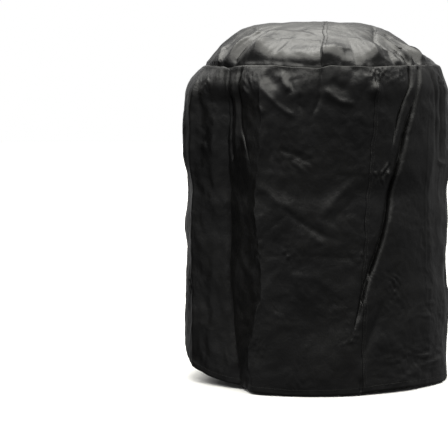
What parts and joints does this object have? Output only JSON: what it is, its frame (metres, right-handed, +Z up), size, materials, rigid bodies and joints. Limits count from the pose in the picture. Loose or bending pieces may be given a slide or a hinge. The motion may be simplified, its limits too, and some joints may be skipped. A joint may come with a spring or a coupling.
{
  "type": "grill cover",
  "caption": "Round black drape cover for a kettle grill: a slack domed crown sewn to a long straight skirt that is open at the bottom.",
  "frame": {"origin": "on the ground under the middle of the hem", "axes": "+Z up; -Y is the front; the crown's centre seam lies in the plane X = 0"},
  "size_m": [0.57, 0.57, 0.77],
  "materials": {
    "coated_cloth": "satin",
    "binding_tape": "matte",
    "sewing_thread": "matte"
  },
  "bodies": {
    "root": {"crown_panel_left": "coated_cloth", "crown_panel_right": "coated_cloth", "skirt_panel_left": "coated_cloth", "skirt_panel_right": "coated_cloth", "crown_centre_binding": "binding_tape", "crown_ring_binding": "binding_tape", "skirt_front_seam_binding": "binding_tape", "skirt_back_seam_binding": "binding_tape", "crown_centre_stitching": "sewing_thread", "crown_ring_stitching": "sewing_thread", "skirt_front_seam_stitching": "sewing_thread", "skirt_back_seam_stitching": "sewing_thread", "hem_stitching": "sewing_thread"}
  },
  "joints": []
}
